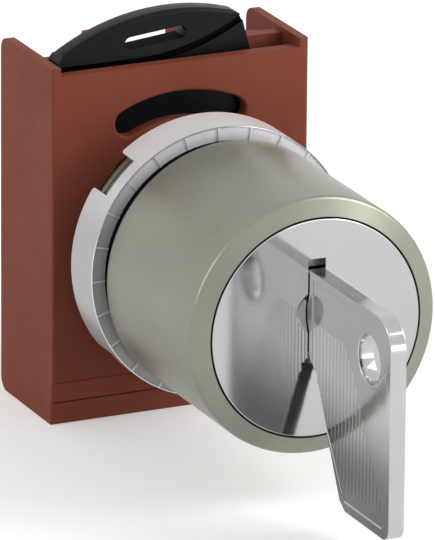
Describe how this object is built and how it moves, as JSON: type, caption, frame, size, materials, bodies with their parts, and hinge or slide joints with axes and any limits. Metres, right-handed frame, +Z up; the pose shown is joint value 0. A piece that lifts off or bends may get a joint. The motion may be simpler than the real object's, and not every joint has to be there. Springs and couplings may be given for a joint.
{
  "type": "key switch",
  "caption": "Key switch head for a round panel hole: satin cylinder with a mirrored face and a flat key, ribbed bezel ring, and a moulded flange with a locking lever behind the panel.",
  "frame": {"origin": "on the head's axis, in the plane of the panel's front face, which is the back of the bezel ring", "axes": "+Y along the head's axis into the panel, towards the flange; the key is on the -Y side; +Z up; +X to the right as seen from the front"},
  "size_m": [0.03, 0.0675, 0.0444],
  "materials": {
    "flange_plastic": "fine matte, red-brown",
    "black_plastic": "satin black",
    "polished_ring": "polished",
    "satin_nickel": "satin, warm grey",
    "mirror_steel": "mirror polish",
    "nickel_key": "polished nickel",
    "rubber": "matte",
    "brass": "machined",
    "steel": "plain",
    "pale_plastic": "smooth"
  },
  "bodies": {
    "base": {"flange_frame": "flange_plastic", "bezel_ring": "polished_ring", "head_shell": "satin_nickel", "panel_gasket": "rubber", "ring_seal": "rubber", "disc_seal": "rubber", "lock_barrel": "brass", "barrel_nut": "steel", "detent_ball": "steel", "detent_spring": "steel", "plunger_spring_left": "steel", "plunger_spring_right": "steel", "plunger_guide": "black_plastic"},
    "rotor": {"face_disc": "mirror_steel", "lock_plug": "brass", "wafer_1": "brass", "wafer_2": "brass", "wafer_3": "brass", "wafer_4": "brass", "wafer_5": "brass", "wafer_6": "brass", "wafer_spring_1": "steel", "wafer_spring_2": "steel", "wafer_spring_3": "steel", "wafer_spring_4": "steel", "wafer_spring_5": "steel", "wafer_spring_6": "steel", "switch_cam": "pale_plastic", "cam_clip": "steel"},
    "key": {"key": "nickel_key"},
    "lever": {"locking_lever": "black_plastic"},
    "plunger_left": {"plunger_left": "pale_plastic"},
    "plunger_right": {"plunger_right": "pale_plastic"}
  },
  "joints": [
    {"name": "key_turn", "type": "hinge", "parent": "base", "child": "rotor", "pos_m": [0, 0, 0], "axis": [0, 1, 0], "range_deg": [0, 90]},
    {"name": "key_insertion", "type": "slide", "parent": "rotor", "child": "key", "axis": [0, -1, 0], "range_m": [0, 0.026]},
    {"name": "lever_turn", "type": "hinge", "parent": "base", "child": "lever", "pos_m": [0, 0.0081, 0], "axis": [0, 1, 0], "range_deg": [0, 15]},
    {"name": "plunger_left_push", "type": "slide", "parent": "base", "child": "plunger_left", "axis": [0, 1, 0], "range_m": [0, 0.0024], "deforming": ["plunger_spring_left"]},
    {"name": "plunger_right_push", "type": "slide", "parent": "base", "child": "plunger_right", "axis": [0, 1, 0], "range_m": [0, 0.0024], "deforming": ["plunger_spring_right"]}
  ],
  "couplings": [
    {"joint": "plunger_left_push", "follows": "key_turn", "m_per_rad": 0.0015278},
    {"joint": "plunger_right_push", "follows": "key_turn", "m_per_rad": 0.0015278}
  ]
}
